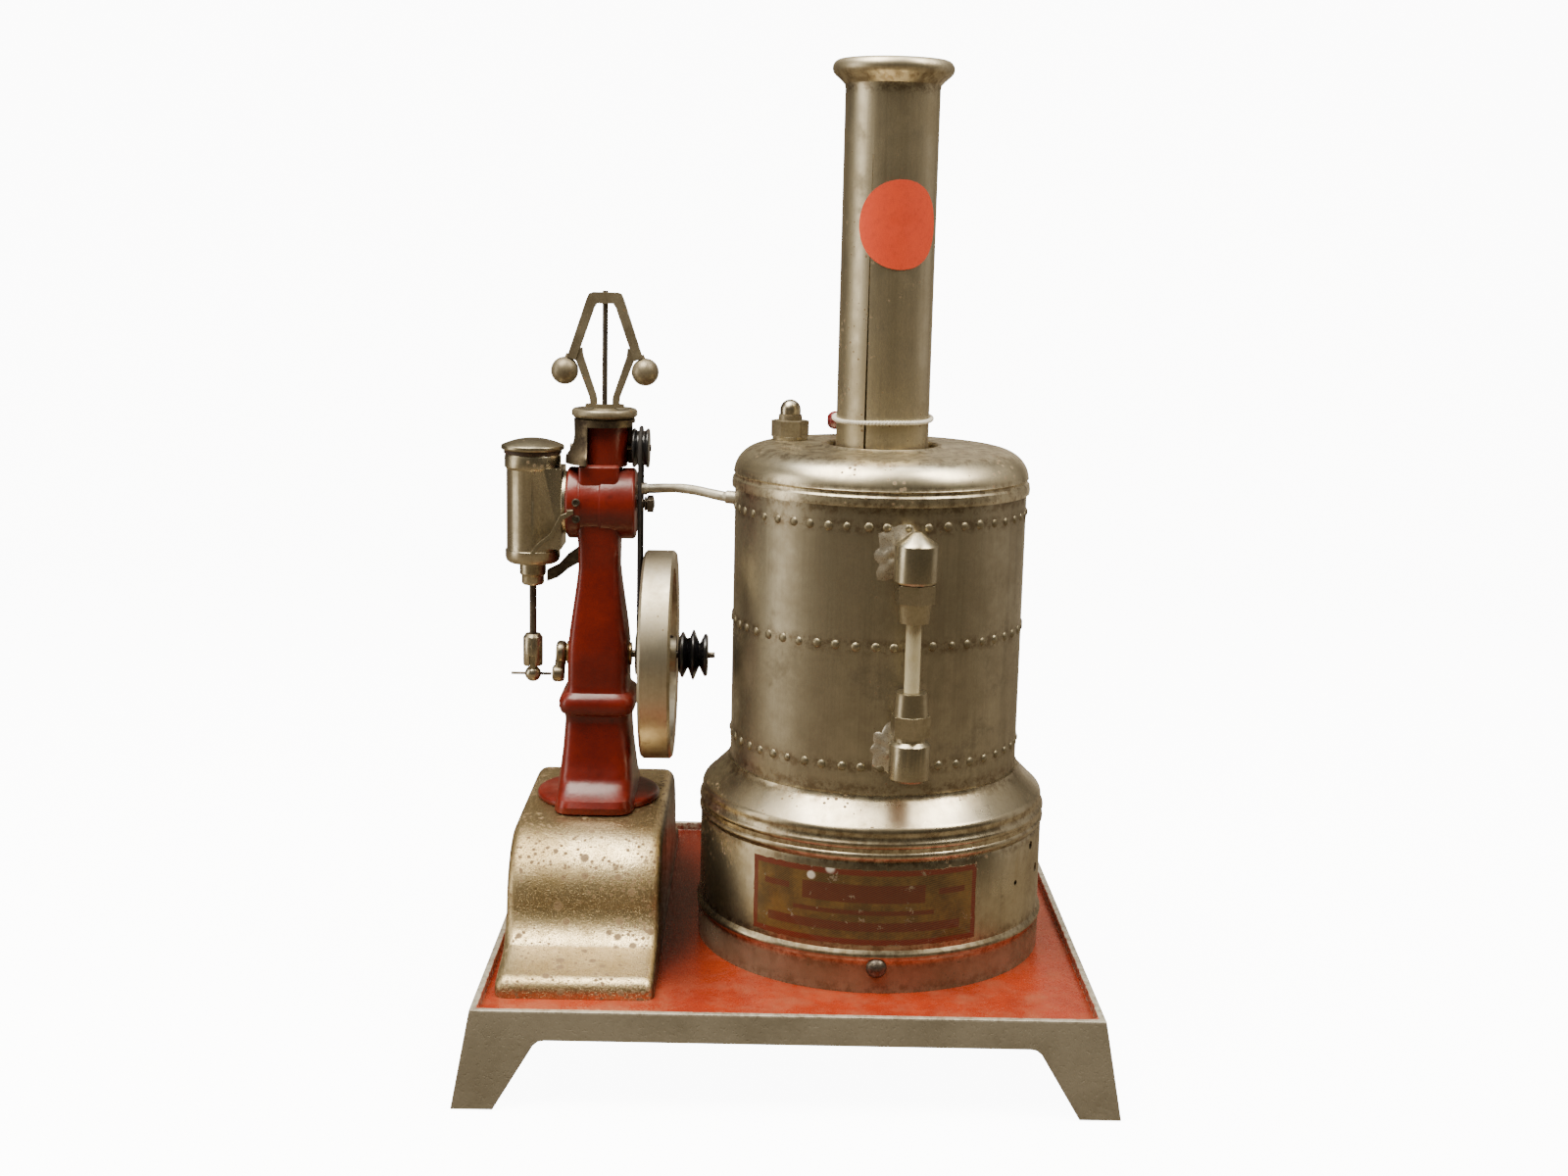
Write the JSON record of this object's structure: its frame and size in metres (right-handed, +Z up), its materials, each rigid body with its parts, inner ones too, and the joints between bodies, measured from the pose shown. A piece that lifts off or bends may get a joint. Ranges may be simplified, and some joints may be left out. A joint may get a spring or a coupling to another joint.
{
  "type": "toy stationary steam engine",
  "caption": "Vintage toy steam plant: electric upright boiler with chimney and water gauge, upright rocking-cylinder engine with flywheel and flyball governor, on a footed tray.",
  "frame": {"origin": "centre of the footprint, on the surface that the feet stand on", "axes": "+X to the boiler's side (right), +Y to the back, +Z up; the crankshaft runs along X"},
  "size_m": [0.1852, 0.1852, 0.2894],
  "materials": {
    "base_enamel": "worn gloss enamel inside, aged nickel-grey outside",
    "old_steel": "darkened steel",
    "cast_nickel": "pitted nickel plate on cast iron",
    "column_enamel": "gloss enamel on cast iron",
    "bush_bronze": "oiled bronze",
    "soldered_pipe": "tinned copper tube, dull",
    "dark_bronze": "dark worn nickel over bronze",
    "black_cord": "matt cord",
    "nickel": "aged nickel plate",
    "dark_gasket": "oil-soaked fibre",
    "wheel_nickel": "satin nickel plate",
    "black_pulley": "black japan, worn edges",
    "friction_leather": "dry leather facing",
    "boiler_nickel": "brushed nickel plate, tarnished",
    "mica_plate": "mica and fibre board",
    "fibre_block": "dark moulded fibre",
    "inlet_brass": "dull brass",
    "bright_nickel": "bright nickel plate",
    "gauge_glass": "cream-stained glass",
    "red_wood": "red-stained turned wood",
    "sticker_paper": "matt coloured paper",
    "cotton_string": "undyed cotton"
  },
  "bodies": {
    "root": {"base_tray": "base_enamel", "base_screws": "old_steel", "pedestal": "cast_nickel", "engine_column": "column_enamel", "column_bolt": "old_steel", "shaft_bushes": "bush_bronze", "port_plate": "nickel", "retaining_clip": "nickel", "guide_bracket": "old_steel", "steam_pipe": "soldered_pipe", "pipe_union": "soldered_pipe", "governor_bracket": "dark_bronze", "governor_belt": "black_cord", "boiler_shell": "boiler_nickel", "boiler_cap": "boiler_nickel", "boiler_bottom": "boiler_nickel", "firebox": "boiler_nickel", "heater_plate": "mica_plate", "inlet_block": "fibre_block", "inlet_pins": "inlet_brass", "firebox_screw": "old_steel", "chimney": "boiler_nickel", "gauge_fittings": "bright_nickel", "gauge_nuts": "bright_nickel", "gauge_glass": "gauge_glass", "valve_body": "nickel", "whistle_body": "nickel", "lot_sticker": "sticker_paper", "tag_string": "cotton_string"},
    "cylinder": {"cylinder_barrel": "nickel", "cylinder_cap": "nickel", "cap_gasket": "dark_gasket", "lower_cover": "nickel", "gland_nut": "nickel", "trunnion_pin": "old_steel", "trunnion_spring": "old_steel", "trunnion_nut": "old_steel"},
    "piston_rod_set": {"piston": "nickel", "piston_rod": "old_steel", "rod_end": "nickel", "big_end_ball": "nickel", "crank_pin": "old_steel"},
    "crankshaft_set": {"crank_web": "old_steel", "crankshaft": "old_steel", "flywheel": "wheel_nickel", "step_pulley": "black_pulley", "drive_pulley": "nickel", "set_screws": "old_steel"},
    "governor_drive": {"governor_axle": "old_steel", "governor_pulley": "black_pulley", "friction_wheel": "friction_leather"},
    "governor_head": {"governor_spindle": "old_steel", "friction_disc": "nickel", "governor_disc": "nickel", "governor_yoke": "nickel", "governor_balls": "nickel", "governor_links": "nickel"},
    "safety_valve": {"valve_plunger": "nickel"},
    "whistle_lever_set": {"whistle_lever": "old_steel", "whistle_knob": "red_wood"}
  },
  "joints": [
    {"name": "crankshaft_spin", "type": "hinge", "parent": "root", "child": "crankshaft_set", "pos_m": [-0.0417, 0.003, 0.1082], "axis": [1, 0, 0], "continuous": true},
    {"name": "governor_axle_spin", "type": "hinge", "parent": "root", "child": "governor_drive", "pos_m": [-0.0479, 0.003, 0.1731], "axis": [1, 0, 0], "continuous": true},
    {"name": "governor_spin", "type": "hinge", "parent": "root", "child": "governor_head", "pos_m": [-0.0592, 0.003, 0.19], "axis": [0, 0, 1], "continuous": true},
    {"name": "cylinder_swing", "type": "hinge", "parent": "root", "child": "cylinder", "pos_m": [-0.0813, 0.003, 0.1558], "axis": [1, 0, 0], "range_deg": [-8.5, 8.5]},
    {"name": "piston_slide", "type": "slide", "parent": "cylinder", "child": "piston_rod_set", "axis": [0, 0, 1], "range_m": [0, 0.014]},
    {"name": "valve_lift", "type": "slide", "parent": "root", "child": "safety_valve", "axis": [0, 0, 1], "range_m": [0, 0.001], "stiffness_N_per_m": 300, "springref_m": -0.003},
    {"name": "whistle_pull", "type": "hinge", "parent": "root", "child": "whistle_lever_set", "pos_m": [0.0218, 0.017, 0.1816], "axis": [0, 1, 0], "range_deg": [0, 15], "stiffness_Nm_per_rad": 0.01, "springref_deg": -20.05}
  ],
  "couplings": [
    {"joint": "governor_axle_spin", "follows": "crankshaft_spin", "ratio": 1},
    {"joint": "governor_spin", "follows": "crankshaft_spin", "ratio": -1}
  ]
}
